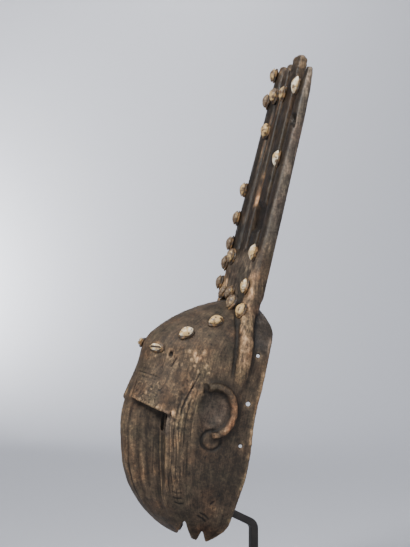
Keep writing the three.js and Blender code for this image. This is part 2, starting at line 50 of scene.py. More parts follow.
# How it shrinks, as (height of the lower cap's top, its power, height of the upper cap's foot, its power)
WIDTH_CAPS = (60.0, 2.3, 208.0, 1.9)
DEPTH_CAPS = (60.0, 1.97, 196.0, 1.65)
CAP_LIMIT = 0.9999
# Swellings of the face and of its rim, as (reach, height, spread)
NOSE_BULGE = (16.5, 112, 58)
FOREHEAD_BULGE = (3.5, 210, 26)
RIM_SWELL = (6, 122, 52)
RIM_FLARE = (4.5, 243, 15)
# How far the rim is cut forward towards the jaw, the chin and the crown
JAW_CUT, JAW_TOP = 11, 95
CHIN_CUT, CHIN_TOP, CHIN_LENGTH, CHIN_POWER = 20, -8, 32, 1.6
CROWN_CUT, CROWN_FOOT, CROWN_LENGTH, CROWN_POWER = 22, 232, 51, 2.4
# The comb's middle plane, and where the head turns into the comb
COMB_F, COMB_W, COMB_SLOPE, COMB_REACH = 20.9, 291.0, 0.082, 16
COMB_FOOT = (266, 286)
HEAD_TOP = 284

# The camera, as the photograph was taken
CAMERA_AZIMUTH = math.radians(66.07)
CAMERA_DISTANCE = 2.4
CAMERA_AIM_Z = 0.42235
CAMERA_ASIDE = 0.04485
CAMERA_LENS = 121.5
CAMERA_SENSOR = 36
CAMERA_FAR = 50


def over(value, low, high):
    """0 below low, 1 above high, with a soft step between them."""
    t = np.clip((value - low) / (high - low), 0, 1)
    return t * t * (3 - 2 * t)


def under(value, low, high):
    """1 below low, 0 above high, with a soft step between them."""
    return 1 - over(value, low, high)


def bell(distance, spread):
    return np.exp(-((distance / spread) ** 2))


def swell(w, shape):
    reach, height, spread = shape
    return reach * bell(w - height, spread)


def cap(w, caps):
    low_top, low_power, high_foot, high_power = caps
    low = np.clip((low_top - w) / (low_top - LOW_END), 0, CAP_LIMIT)
    high = np.clip((w - high_foot) / (HIGH_END - high_foot), 0, CAP_LIMIT)
    return (1 - low**low_power) ** (1 / low_power) * (1 - high**high_power) ** (1 / high_power)


def helmet_sizes(w):
    """Half width, depth and rim place of the head at each height."""
    w = np.clip(w, LOW_END + END_GAP, HIGH_END - END_GAP)
    width = HALF_WIDTH * cap(w, WIDTH_CAPS)
    bulge = swell(w, NOSE_BULGE) + swell(w, FOREHEAD_BULGE)
    depth = (FACE_DEPTH + bulge) * cap(w, DEPTH_CAPS)
    chin = np.clip((CHIN_TOP - w) / CHIN_LENGTH, 0, 1)
    crown = np.clip((w - CROWN_FOOT) / CROWN_LENGTH, 0, 1)
    rim = swell(w, RIM_SWELL) + JAW_CUT * under(w, 0, JAW_TOP)
    rim = rim + CHIN_CUT * chin**CHIN_POWER + CROWN_CUT * crown**CROWN_POWER
    return width, depth, rim - swell(w, RIM_FLARE)


def to_mask(points):
    """Points of the part in metres as x, f, w of the mask's frame in millimetres."""
    p = points * MM - np.array(RIM_FOOT)
    y = p[:, 1] * math.cos(LEAN) - p[:, 2] * math.sin(LEAN)
    w = p[:, 1] * math.sin(LEAN) + p[:, 2] * math.cos(LEAN)
    return p[:, 0], -y, w


SECTION_DEPTH = 145.0
DEGREES = np.arange(0, 181.0)


def section_arcs():
    """The way round the section from the middle of the face to each whole degree, in millimetres."""
    turns = np.radians(DEGREES)
    steps = np.hypot(HALF_WIDTH * np.cos(turns), SECTION_DEPTH * np.sin(turns)) * math.pi / 180
    return np.concatenate([[0], np.cumsum((steps[1:] + steps[:-1]) / 2)])


ARCS = section_arcs()


def arc(angle):
    return np.interp(angle, DEGREES, ARCS)


def line_distance(u, v, points):
    """Distance of each (u, v) from a line of points, and the share of its length reached."""
    best = np.full(u.shape, np.inf)
    share = np.zeros(u.shape)
    lengths = [math.dist(a, b) for a, b in zip(points, points[1:])]
    total = sum(lengths)
    run = 0.0
    for a, b, length in zip(points, points[1:], lengths):
        du, dv = b[0] - a[0], b[1] - a[1]
        t = np.clip(((u - a[0]) * du + (v - a[1]) * dv) / length**2, 0, 1)
        distance = np.hypot(u - a[0] - t * du, v - a[1] - t * dv)
        near = distance < best
        best = np.where(near, distance, best)
        share = np.where(near, (run + t * length) / total, share)
        run += length
    return best, share


def stroke(u, v, points, half, ends=0.12):
    """1 along a line of points, falling to 0 at half a width from it and towards its ends."""
    distance, share = line_distance(u, v, points)
    fade = over(share, 0, ends) * under(share, 1 - ends, 1) if ends else 1.0
    return np.clip(1 - (distance / half) ** 2, 0, 1) ** 2 * fade


NOISE_FALL, NOISE_STEP = 1.0, 2.0


def ripple(co, size, seed, octaves=3):
    """Smooth noise at each point, about -1 to 1, with lumps of the given size."""
    shift = Vector((seed, seed * 1.7, seed * 0.6))
    return np.array([noise.fractal(Vector(p) / size + shift, NOISE_FALL, NOISE_STEP, octaves) for p in co])


def deselect():
    bpy.ops.object.select_all(action="DESELECT")


def pick(piece):
    deselect()
    piece.select_set(True)
    bpy.context.view_layer.objects.active = piece


def finish_with(piece, kind, **settings):
    modifier = piece.modifiers.new(kind.title(), kind)
    for key, value in settings.items():
        setattr(modifier, key, value)
    pick(piece)
    bpy.ops.object.modifier_apply(modifier=modifier.name)


def link(name, data):
    thing = bpy.data.objects.new(name, data)
    bpy.context.scene.collection.objects.link(thing)
    return thing


MERGE_DISTANCE = 0.00001


def copy_of(node, name):
    """A copy of a CAD node with its loose triangles joined."""
    piece = link(name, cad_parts[node].data.copy())
    piece.data.materials.clear()
    pick(piece)
    bpy.ops.object.mode_set(mode="EDIT")
    bpy.ops.mesh.select_all(action="SELECT")
    bpy.ops.mesh.remove_doubles(threshold=MERGE_DISTANCE)
    bpy.ops.object.mode_set(mode="OBJECT")
    return piece


def unit_ball(segments, rings):
    """A ball of radius 1. Its faces are sorted, because the operator lists them in a new order each time."""
    deselect()
    bpy.ops.mesh.primitive_uv_sphere_add(segments=segments, ring_count=rings, radius=1.0)
    ball = bpy.context.active_object
    points = [vertex.co.copy() for vertex in ball.data.vertices]
    faces = sorted(tuple(face.vertices) for face in ball.data.polygons)
    ball.data.clear_geometry()
    ball.data.from_pydata(points, [], faces)
    return ball


def points_of(mesh):
    co = np.zeros(len(mesh.vertices) * 3)
    mesh.vertices.foreach_get("co", co)
    return co.reshape(-1, 3)


def normals_of(mesh):
    normals = np.zeros(len(mesh.vertices) * 3)
    mesh.vertex_normals.foreach_get("vector", normals)
    return normals.reshape(-1, 3)


def edges_of(mesh):
    edges = np.zeros(len(mesh.edges) * 2, int)
    mesh.edges.foreach_get("vertices", edges)
    return edges.reshape(-1, 2)


def keep_look(mesh, name, x, y, z):
    """Stores three numbers for each point, for the paint to read."""
    values = np.stack([x, y, z], axis=1).astype(np.float32)
    mesh.attributes.new(name, "FLOAT_VECTOR", "POINT").data.foreach_set("vector", values.ravel())


def shade_smooth(piece):
    piece.data.polygons.foreach_set("use_smooth", np.ones(len(piece.data.polygons), bool))


class Value:
    """A shader socket that takes part in sums."""

    def __init__(self, paint, socket):
        self.paint, self.socket = paint, socket

    def _sum(self, operation, a, b):
        return self.paint.make("ShaderNodeMath", {"operation": operation}, {0: a, 1: b})

    def __add__(self, other):
        return self._sum("ADD", self, other)

    def __radd__(self, other):
        return self._sum("ADD", other, self)

    def __sub__(self, other):
        return self._sum("SUBTRACT", self, other)

    def __rsub__(self, other):
        return self._sum("SUBTRACT", other, self)

    def __mul__(self, other):
        return self._sum("MULTIPLY", self, other)

    def __rmul__(self, other):
        return self._sum("MULTIPLY", other, self)


class Paint:
    """One material's nodes."""

    def __init__(self, name, **fixed):
        self.material = bpy.data.materials.new(name)
        self.material.use_nodes = True
        self.tree = self.material.node_tree
        self.tree.nodes.clear()
        self.surface = self.tree.nodes.new("ShaderNodeBsdfPrincipled")
        output = self.tree.nodes.new("ShaderNodeOutputMaterial")
        self.tree.links.new(self.surface.outputs[0], output.inputs[0])
        for key, value in fixed.items():
            self.surface.inputs[key.replace("_", " ")].default_value = value

    def make(self, kind, settings=None, sockets=None, output=0):
        """A node of a kind, with its settings first and then its sockets' values or links."""
        node = self.tree.nodes.new(kind)
        for key, value in (settings or {}).items():
            if key == "stops":
                self.set_stops(node.color_ramp, value)
            else:
                setattr(node, key, value)
        for key, value in (sockets or {}).items():
            self.feed(node.inputs[key], value)
        return Value(self, node.outputs[output])

    def set_stops(self, ramp, stops):
        while len(ramp.elements) < len(stops):
            ramp.elements.new(0.5)
        for element, (position, colour) in zip(ramp.elements, stops):
            element.position = position
            element.color = (*colour, 1)

    def feed(self, socket, value):
        if isinstance(value, Value):
            self.tree.links.new(value.socket, socket)
        else:
            socket.default_value = (*value, 1) if isinstance(value, tuple) else value

    def mix(self, share, a, b):
        """Colour a turning into colour b."""
        settings = {"data_type": "RGBA", "clamp_factor": True}
        return self.make("ShaderNodeMix", settings, {0: share, 6: a, 7: b}, output=2)

    def tinted(self, colour, share, tint):
        """A colour multiplied by a tint, by a share."""
        settings = {"data_type": "RGBA", "blend_type": "MULTIPLY", "clamp_result": False}
        return self.make("ShaderNodeMix", settings, {0: share, 6: colour, 7: tint}, output=2)

    def between(self, value, low, high):
        """0 at low and 1 at high, which may be the lower of the two."""
        sockets = {0: value, 1: low, 2: high}
        return self.make("ShaderNodeMapRange", {"interpolation_type": "SMOOTHSTEP"}, sockets)

    def noise(self, at, scale, detail=3.0, roughness=0.55):
        sockets = {"Vector": at, "Scale": scale, "Detail": detail, "Roughness": roughness}
        return self.make("ShaderNodeTexNoise", {}, sockets)

    def place(self):
        return self.make("ShaderNodeTexCoord", output="Object")

    def parts(self, name):
        """The three numbers that a mesh keeps under a name."""
        node = self.tree.nodes.new("ShaderNodeSeparateXYZ")
        self.feed(node.inputs[0], self.make("ShaderNodeAttribute", {"attribute_name": name}, output="Vector"))
        return [Value(self, output) for output in node.outputs]

    def joined(self, x, y):
        return self.make("ShaderNodeCombineXYZ", {}, {0: x, 1: y})

    def bump(self, height, distance, strength=1.0):
        sockets = {"Height": height, "Distance": distance, "Strength": strength}
        return self.make("ShaderNodeBump", {}, sockets)

    def finish(self, **sockets):
        for key, value in sockets.items():
            self.feed(self.surface.inputs[key.replace("_", " ")], value)
        return self.material


NOISE_MIDDLE = 0.5


def swing(value, amount):
    """Noise about its middle, times an amount."""
    return (value - NOISE_MIDDLE) * amount


# Wood from its darkest to its barest, by tone
WOOD_STOPS = [
    (0.0, (0.0095, 0.007, 0.005)),
    (0.22, (0.028, 0.0192, 0.0122)),
    (0.45, (0.076, 0.0525, 0.0325)),
    (0.62, (0.160, 0.105, 0.058)),
    (0.80, (0.330, 0.212, 0.112)),
    (1.0, (0.600, 0.415, 0.235)),
]
WARM_TINT, COOL_TINT, RED_TINT = (1.08, 0.95, 0.89), (0.91, 0.98, 0.97), (1.2, 0.86, 0.74)
SHELL_PALE, SHELL_YELLOW, SHELL_BROWN = (0.80, 0.71, 0.53), (0.56, 0.37, 0.15), (0.10, 0.05, 0.018)
SOIL_DARK, SOIL_PALE = (0.075, 0.052, 0.036), (0.235, 0.165, 0.10)
SLIT_DARK, SHELL_FOOT = (0.03, 0.018, 0.011), (0.09, 0.048, 0.02)
WAX_DARK, WAX_PALE = (0.026, 0.016, 0.009), (0.21, 0.112, 0.038)
STEEL_DARK, STEEL_PALE = (0.021, 0.0175, 0.0155), (0.036, 0.030, 0.026)
BACKDROP_DARK, BACKDROP_PALE = (0.49, 0.50, 0.54), (0.53, 0.54, 0.58)


def wood_paint():
    """Wood that follows its carved tone, broken up by fibres, streaks, mottling, grit and specks."""
    paint = Paint("carved_wood", Specular_IOR_Level=0.28)
    spot = paint.place()
    across, w, gloss = paint.parts("place")
    tone, red, grey = paint.parts("tone")
    fibre = paint.noise(paint.joined(across, w * 0.06), scale=0.5, detail=5.0, roughness=0.65)
    streak = paint.noise(paint.joined(across, w * 0.12), scale=0.15)
    mottle = paint.noise(spot, scale=75.0, detail=5.0, roughness=0.65)
    cloud = paint.noise(spot, scale=20.0, detail=2.0)
    grit = paint.noise(spot, scale=330.0, detail=4.0, roughness=0.75)
    speck = paint.noise(spot, scale=190.0, detail=2.0)
    worn = paint.between(tone, 0.2, 0.6)
    shade = tone + swing(fibre, 0.4 + worn * 0.25) + swing(grit, 0.6 + worn * 0.25)
    shade = shade + swing(mottle, 0.7) + swing(streak, 0.2) + swing(cloud, 0.22)
    pale_specks = paint.between(speck, 0.64, 0.74) * worn * 0.16
    dark_specks = paint.between(speck, 0.36, 0.27) * 0.16
    shade = shade + pale_specks - dark_specks
    colour = paint.make("ShaderNodeValToRGB", {"stops": WOOD_STOPS}, {0: shade})
    hue = paint.noise(spot, scale=34.0, roughness=0.6)
    colour = paint.tinted(colour, paint.between(hue, 0.5, 0.68), WARM_TINT)
    colour = paint.tinted(colour, paint.between(hue, 0.5, 0.34), COOL_TINT)
    weathered = paint.make("ShaderNodeHueSaturation", {}, {"Saturation": 0.35, "Color": colour})
    colour = paint.mix(grey * 0.4, colour, weathered)
    colour = paint.tinted(colour, red, RED_TINT)
    relief = paint.bump(fibre * 0.55 + grit * 0.35 + mottle * 0.4, distance=0.0011, strength=0.9)
    roughness = 0.66 + swing(grit, 0.5) - gloss * 0.3
    return paint.finish(Base_Color=colour, Roughness=roughness, Normal=relief)


def shell_paint():
    """Yellowed shell under grey-brown soil, with brown spots, a dark slit, and darker towards its foot on the
    wood.
    """
    paint = Paint("cowrie_shell", Coat_Roughness=0.2, Specular_IOR_Level=0.45)
    spot = paint.place()
    slit, foot, dirt = paint.parts("shell")
    cloud = paint.noise(spot, scale=130.0)
    patch = paint.noise(spot, scale=210.0, detail=2.0)
    grit = paint.noise(spot, scale=520.0, roughness=0.7)
    colour = paint.mix(paint.between(cloud + dirt * 0.6, 0.42, 0.62), SHELL_PALE, SHELL_YELLOW)
    soil = paint.mix(paint.between(grit, 0.4, 0.62), SOIL_DARK, SOIL_PALE)
    soiled = paint.between(dirt + swing(patch, 2.2) + swing(grit, 0.9), 0.3, 0.7)
    colour = paint.mix(soiled, colour, soil)
    brown = paint.between(patch + grit * 0.35, 0.73, 0.80)
    colour = paint.mix(brown * 0.85, colour, SHELL_BROWN)
    colour = paint.mix(paint.between(slit + grit * 0.2, 0.35, 0.8), colour, SLIT_DARK)
    # Darker towards the foot that faces the wood
    darker_foot = paint.between(foot + cloud * 0.6, 0.75, 1.05) * 0.9
    colour = paint.mix(darker_foot, colour, SHELL_FOOT)
    roughness = 0.36 + grit * 0.2 + dirt * 0.2
    coat = 0.35 - slit * 0.3 - dirt * 0.25
    relief = paint.bump(patch, distance=0.0006, strength=0.7)
    return paint.finish(Base_Color=colour, Roughness=roughness, Coat_Weight=coat, Normal=relief)


def wax_paint():
    paint = Paint("dark_wax", Specular_IOR_Level=0.5)
    cloud = paint.noise(paint.place(), scale=160.0, detail=4.0, roughness=0.6)
    colour = paint.mix(paint.between(cloud, 0.42, 0.7), WAX_DARK, WAX_PALE)
    relief = paint.bump(cloud, distance=0.0015)
    return paint.finish(Base_Color=colour, Roughness=0.42 + cloud * 0.25, Normal=relief)


def steel_paint():
    paint = Paint("black_steel", Metallic=0.35, Specular_IOR_Level=0.5)
    spot = paint.place()
    cloud = paint.noise(spot, scale=40.0, detail=4.0)
    grit = paint.noise(spot, scale=900.0, detail=2.0)
    colour = paint.mix(paint.between(cloud, 0.4, 0.7), STEEL_DARK, STEEL_PALE)
    relief = paint.bump(grit, distance=0.0002, strength=0.4)
    return paint.finish(Base_Color=colour, Roughness=0.4 + cloud * 0.2, Normal=relief)


def studio_paint():
    paint = Paint("plain_backdrop", Specular_IOR_Level=0.1, Roughness=0.95)
    cloud = paint.noise(paint.place(), scale=0.8, detail=1.0)
    return paint.finish(Base_Color=paint.mix(cloud, BACKDROP_DARK, BACKDROP_PALE))


# Lines cut into the face: points as (angle round the section, height), half width, depth, darkening
FACE_CUTS = [
    # The groove beside the nose, and the slit of the eye, whose darkening is painted shade
    ([(12.5, 133), (11.0, 118), (10, 92), (9.5, 60), (8, 30), (6.5, 0)], 2.0, 1.0, 0.1),
    ([(40, 121), (39.6, 108), (39.4, 93)], 2.8, 5.0, 0.5),
    # Two lines across the top of the brow, and one down its front
    ([(3, 166), (12, 165), (30, 161.5)], 1.1, 0.6, 0.14),
    ([(3, 161.5), (12, 160.5), (30, 157.5)], 0.9, 0.4, 0.08),
    ([(8, 154), (9.5, 144), (11, 134)], 1.3, 1.0, 0.22),
    # The crack from the temple down behind the brow, in three parts
    ([(54.5, 176), (53.2, 162), (52.6, 152)], 1.1, 1.2, 0.22),
    ([(53.2, 160), (52, 141), (51.6, 128), (52, 117)], 1.7, 1.4, 0.26),
    ([(52, 117), (51.4, 108), (51, 99)], 1.5, 0.8, 0.1),
    # Short cuts under the pit and at the brow's corner
    ([(38, 190), (36.5, 183), (35.5, 176)], 1.5, 1.3, 0.22),
    ([(46.5, 122), (46, 115)], 1.6, 1.6, 0.2),
    # The broad hollow under the brow, darkened a little with painted shade, and a line in it
    ([(26, 116), (25, 85), (24, 45), (21, 18)], 8.0, 1.4, 0.03),
    ([(30, 88), (29, 60), (28, 40)], 1.4, 0.6, 0.07),
    # Three bows at the foot of the cheek
    ([(46, 17), (49, 15.5), (53, 17)], 1.2, 0.9, 0.2),
    ([(46, 11), (50, 9.5), (54, 11)], 1.2, 0.9, 0.2),
    ([(46, 24), (50, 22), (54, 24)], 1.1, 0.7, 0.14),
]
# Lines that stand out of the face: points, half width, rise, lightening
FACE_RIDGES = [
    ([(34.5, 100), (35, 60), (35.5, 35), (36, 8)], 1.6, 1.3, 0.2),
    ([(15, 124), (14, 92), (13, 55), (11, 20)], 4.0, 1.0, 0.07),
    ([(3, 128), (3, 60), (3, 10)], 7.0, 0.8, 0.05),
    ([(18, 84), (19, 50), (17, 20)], 7.0, 0.8, 0.13),
]
# The striped cheek's middle line, and the half width of its tone and of its stripes
CHEEK_LINE = [(48, 14), (49, 50), (49.5, 92), (51.5, 130), (52.5, 152), (51, 182)]
CHEEK_TONE_HALF, CHEEK_STRIPE_HALF = 29, 24
# Cracks along the cheek, as (angle, lowest, highest)
CHEEK_CRACKS = [
    (44.5, 16, 74), (45.6, 30, 112), (46.8, 8, 60), (47.8, 44, 104), (49, 70, 150), (49.6, 10, 66),
    (50.8, 16, 92), (52.6, 20, 112), (54, 60, 168), (55.6, 24, 96), (57, 80, 150),
]
# The brow's lower edge, as angles and heights, and where the smoother patch at its outer end begins
BROW_LOW = [10, 38, 50], [132, 120, 114]
BROW_PATCH = (36, 41)
# Rows of small cuts across the brow: their number, the first one's height over its edge, and their distance
BROW_ROWS, BROW_FIRST_ROW, BROW_ROW_STEP = 5, 5.5, 6.2
BROW_ROW_ANGLES = (11, 24, 37)
# Small nicks: lowest, highest and how many, on the brow and above it
BROW_NICKS = (118, 160, 190)
FOREHEAD_NICKS = (166, 208, 130)
NICK_SEED = 7
# Their ranges: angle, slant, half length, darkening and half width
NICK_ANGLES, NICK_TILT, NICK_REACH = (9, 52), (-1.0, 1.6), (0.5, 2.2)
NICK_SHADE, NICK_HALF = (-0.2, 0.16), (0.9, 1.5)
# The darker ones are cut in, and the others stand out a little
NICK_DARK, NICK_DEEP, NICK_RISE = 0.03, 0.42, 0.12

# Lines cut into the side of the head: points as (forward, height), half width, depth, darkening
SIDE_CUTS = [
    # A groove along the front of the horn's root, darkened with painted shade
    ([(44, 278), (47, 250), (47.5, 225), (47.5, 200), (46, 176)], 3.0, 0.9, 0.12),
    ([(78, 164), (76, 150)], 5.0, 1.6, 0.16),
    ([(41, 20), (46, 14)], 1.6, 1.0, 0.2),
    ([(56, 3), (47, 0), (40, -5)], 1.3, 1.0, 0.16),
    ([(58, -1), (49, -4), (42, -9)], 1.3, 1.0, 0.16),
]
# The ear's middle and half sizes, and the ring at its lower end, as (forward, height)
EAR_MIDDLE, EAR_SIZE = (62, 131), (25, 31)
EAR_RING, EAR_RING_RADIUS = (60, 94), 12.3
# Its ridge by the turn round the middle, in degrees from the top: where it starts, ends, is lit and is red
EAR_START, EAR_END, EAR_LIT, EAR_RED = (-40, -26), (176, 190), (40, 80), (20, 70)
EAR_LOW_END, EAR_LOW_SPREAD, EAR_RIDGE_SPREAD = 158, 26, 0.26
# How far the ear and the horn's root stand out, as a share of the section's radius
EAR_STANDS, ROOT_STANDS = (1.012, 1.045), (1.012, 1.05)
# The horn's root: its reach back and front, its heights, and the place of its bare ridge
ROOT_BACK, ROOT_FRONT, ROOT_FOOT, ROOT_TOP, ROOT_INTO_HORN = 18, 54, (158, 176), 318, (298, 326)
ROOT_RIDGE, ROOT_RIDGE_SPREAD, ROOT_RIDGE_BACK, ROOT_RIDGE_TURN, ROOT_BARE = 39, 7, 7, (228, 290), (168, 208)
# The worn strip along the rim: its distance from it, half width and top
STRIP_MIDDLE, STRIP_SPREAD, STRIP_TOP = 3.2, 3.6, (222, 240)

# Bare flecks on the temple and at the brow's corner, as (angle, height, half width)
FLECKS = [
    (45, 200, 2.2), (49, 199, 2.6), (50.5, 190, 3.2), (54, 201, 2.4), (57, 185, 3.0), (50, 183, 2.2),
    (52.5, 194, 2.0), (47.5, 189, 1.8), (55.5, 192, 1.8), (42, 182, 1.6), (59, 176, 1.8), (53, 176, 1.6),
]
CORNER_FLECKS = [(42, 127, 3.0), (47.5, 121, 2.6), (38.5, 126, 2.0)]
# The pit in the forehead, as (angle, height) and half sizes
PIT, PIT_SIZE = (33, 193), (2.6, 3.6)
# Worn patches, as (lightening, angle or forward, spread, height, spread)
FACE_WEAR = [(0.09, 55, 13, 182, 28), (0.08, 52, 13, 157, 13), (0.16, 51.5, 3.5, 110, 9)]
SIDE_WEAR = [(0.06, 17, 9, 112, 34), (0.07, 12, 9, 200, 18), (0.08, 21, 9, 186, 14)]

# Bare strips and patches on the crest's front: points as (across, height), half width, lightening
CREST_MARKS = [
    ([(-3, 585), (-4, 545), (-6, 500), (-6, 455)], 2.4, 0.5),
    ([(-13, 575), (-15, 520), (-17, 470), (-18, 430)], 1.9, 0.42),
    ([(-6, 458), (-5, 436), (-6, 415), (-8, 396)], 10.0, 0.6),
    ([(-21, 450), (-22, 400), (-23, 350)], 1.9, 0.4),
    ([(-29, 540), (-30, 480), (-30, 440)], 1.6, 0.34),
    ([(27, 585), (28, 540), (28.5, 490), (28.5, 430)], 1.8, 0.24),
    ([(-26, 560), (-27, 520)], 2.6, 0.3),
    ([(12, 420), (13, 400)], 2.0, 0.2),
]
# Where the board at the comb's foot parts into slats, and where the outer horns begin to either side
BOARD_TOP = (338, 350)
HORN_ROOT_FROM, HORN_FROM = 30, 36
# The slit and the knot in the near horn's outer face, as (forward, height) and half sizes
HORN_FACE_FROM = 38
HORN_SLIT, HORN_SLIT_SIZE = (9.5, 517), (1.7, 9)
HORN_KNOT, HORN_KNOT_SIZE = (20, 346), (3.6, 6)
OFF_THE_HORN = 10

# Regions, by where each fades in and out, as (start, end), or lies, as (middle, spread).
# Angles are in degrees round the section, and the other places in millimetres
REGIONS = {
    "side": {"from_angle": (54, 60)},
    "face": {"to_angle": (58, 62), "to_height": (222, 235)},
    "nose": {"to_angle": (13, 17)},
    "recess": {"from_angle": (15, 18), "to_angle": (41, 44), "to_height": (112, 122)},
    "eye": {"at_angle": (37.2, 2.3), "from_height": (90, 96), "to_height": (118, 123)},
    "beside_eye": {"at_angle": (43, 3), "from_height": (86, 96), "to_height": (118, 124)},
    "jaw": {"to_height": (2, 22)},
    "rough_cheek": {"from_height": (84, 108)},
    "brow": {"from_angle": (8, 10), "to_angle": (50, 53), "to_height": (163, 172)},
    "brow_end": {"from_angle": (24, 36), "to_height": (128, 150)},
    "brow_front": {"at_angle": (7, 2.5), "at_height": (138, 5)},
    "above_brow": {"from_height": (160, 168), "to_height": (200, 214), "to_angle": (46, 60)},
    "forehead": {"from_height": (166, 176), "to_angle": (58, 72)},
    "temple": {"at_angle": (52, 13), "at_height": (188, 22)},
    "crown": {"from_height": (225, 262)},
    "behind_root": {"to_forward": (26, 31), "from_height": (200, 226)},
    "stain": {"at_forward": (52, 9), "from_height": (200, 250)},
    "low_patch": {"at_forward": (38, 11), "at_height": (12, 7)},
    "lobe": {"at_forward": (40, 15), "at_height": (-19, 9)},
    "board": {"to_height": (330, 350)},
    "slats": {"from_height": BOARD_TOP},
    "weathered_horn": {"from_height": (330, 370)},
    "slat_hollow": {"at_height": (382, 26), "at_across": (9, 10)},
    "tips": {"from_height": (560, 600)},
}
# Tones of the regions, from 0, the darkest wood, to 1, the barest
TONE = {
    "all": 0.3, "side": 0.23, "face": 0.36, "nose": 0.38, "recess": 0.29, "eye": 0.2, "jaw": 0.31,
    "cheek": 0.40, "brow": 0.375, "forehead": 0.37, "temple": 0.44, "crown": 0.30, "inside": 0.21,
    "ear": 0.24, "ear_inside": 0.31, "horn_root": 0.34, "behind_root": 0.2, "strip": 0.42, "edge": 0.3,
    "crest": 0.29, "crest_front": 0.11, "outer_horn": 0.375,
}
# How a tone changes on the way from one height to another, up or down
# The crest's front turns paler down onto the board at its foot: painted light
TONE_CHANGE = {
    "side": (0.05, 60, 130), "face": (-0.08, 70, 20), "nose": (-0.08, 60, 10), "forehead": (-0.05, 196, 225),
    "horn_root": (0.05, 176, 226), "strip": (0.14, 50, 90), "crest_front": (0.26, 350, 338),
    "outer_horn": (0.085, 440, 560),
}

# Lumps, small bumps and fibres in the wood, as (size in metres, seed); fibres are drawn out along the height
LUMPS, BUMPS, FIBRES = (0.024, 3.1), (0.008, 9.4), (0.0036, 5.2)
FIBRE_STRETCH = (1, 1, 0.14)
# The hollow's edge as a share of the section's radius, and the rim's own edge in millimetres
HOLLOW_EDGE, RIM_EDGE, RIM_EDGE_TOP = (0.86, 0.91), 0.5, 262


class Skin:
    """The wood's surface while it is carved: each point's place, how far it moves and how it looks."""

    def __init__(self, mesh):
        self.co = points_of(mesh)
        self.normal = normals_of(mesh)
        self.x, self.f, self.w = to_mask(self.co)
        self.beside = np.abs(self.x)
        width, depth, self.rim = helmet_sizes(self.w)
        forward = (self.f - self.rim) / np.maximum(depth - self.rim, 1)
        across = self.beside / np.maximum(width, 1)
        self.angle = np.degrees(np.arctan2(across, forward))
        self.ratio = np.hypot(across, np.maximum(forward, 0))
        self.s = arc(np.clip(self.angle, 0, 180))
        self.faces_f = -(self.normal[:, 1] * math.cos(LEAN) - self.normal[:, 2] * math.sin(LEAN))
        self.faces_x = self.normal[:, 0]
        self.places = {"angle": self.angle, "height": self.w, "forward": self.f, "across": self.x}
        self.share_out()
        self.lumps = ripple(self.co, *LUMPS)
        self.fine = ripple(self.co, *BUMPS)
        self.fibre = ripple(self.co * FIBRE_STRETCH, *FIBRES, octaves=2)
        self.out = (self.lumps * 0.45 + self.fine * 0.22) * (1 - 0.8 * self.crest)
        self.tone = np.full(len(self.co), TONE["all"])
        self.red = np.zeros(len(self.co))
        self.grey = np.zeros(len(self.co))
        self.gloss = np.zeros(len(self.co))

    def share_out(self):
        """How far each point belongs to the crest, the hollow, the outer skin, its side and its face."""
        comb_f = COMB_F - (self.w - COMB_W) * COMB_SLOPE
        self.crest = over(self.w, *COMB_FOOT) * (np.abs(self.f - comb_f) < COMB_REACH)
        head = (1 - self.crest) * (self.w < HEAD_TOP)
        self.hollow = under(self.ratio, *HOLLOW_EDGE) * head
        self.skin = (1 - self.hollow) * head * (self.f > self.rim + RIM_EDGE)
        self.side = self.part("side", self.skin)
        self.face = self.part("face", self.skin)

    def part(self, name, share):
        """The part of a share that lies in a region."""
        for key, (start, end) in REGIONS[name].items():
            way, place = key.split("_")
            value = self.places[place]
            if way == "at":
                share = share * bell(value - start, end)
            else:
                share = share * (over if way == "from" else under)(value, start, end)
        return share

    def tone_of(self, name):
        """A region's tone, with its change between two heights."""
        if name not in TONE_CHANGE:
            return TONE[name]
        change, start, end = TONE_CHANGE[name]
        return TONE[name] + change * (over(self.w, start, end) if start < end else under(self.w, end, start))

    def set_tone(self, share, tone):
        self.tone += share * (tone - self.tone)

    def give_tone(self, name, share):
        self.set_tone(share, self.tone_of(name))

    def redder(self, share):
        self.red = np.maximum(self.red, share)

    def greyer(self, share):
        self.grey = np.maximum(self.grey, share)

    def glossier(self, share):
        self.gloss = np.maximum(self.gloss, share)

    def line(self, u, v, points, half, deep, shade, where, ends=0.12):
        """Cuts a line and darkens it, or with negative numbers raises it and lightens it."""
        share = stroke(u, v, points, half, ends) * where
        self.out -= deep * share
        self.tone -= shade * share

    def spots(self, places, tall, light, edge):
        """Bare spots with ragged edges, taller than wide."""
        for at, height, half in places:
            reach = np.hypot((self.s - arc(at)) / half, (self.w - height) / (half * tall)) + self.fine * 0.5
            self.tone += light * under(reach, *edge) * self.skin

    def turned(self, points):
        """Points by their way round the section in place of their angle."""
        return [(float(arc(angle)), height) for angle, height in points]


def brow_edge(angle):
    return np.interp(angle, *BROW_LOW)


def brow_share(skin):
    return skin.part("brow", skin.face) * (skin.w > brow_edge(skin.angle) - 1)


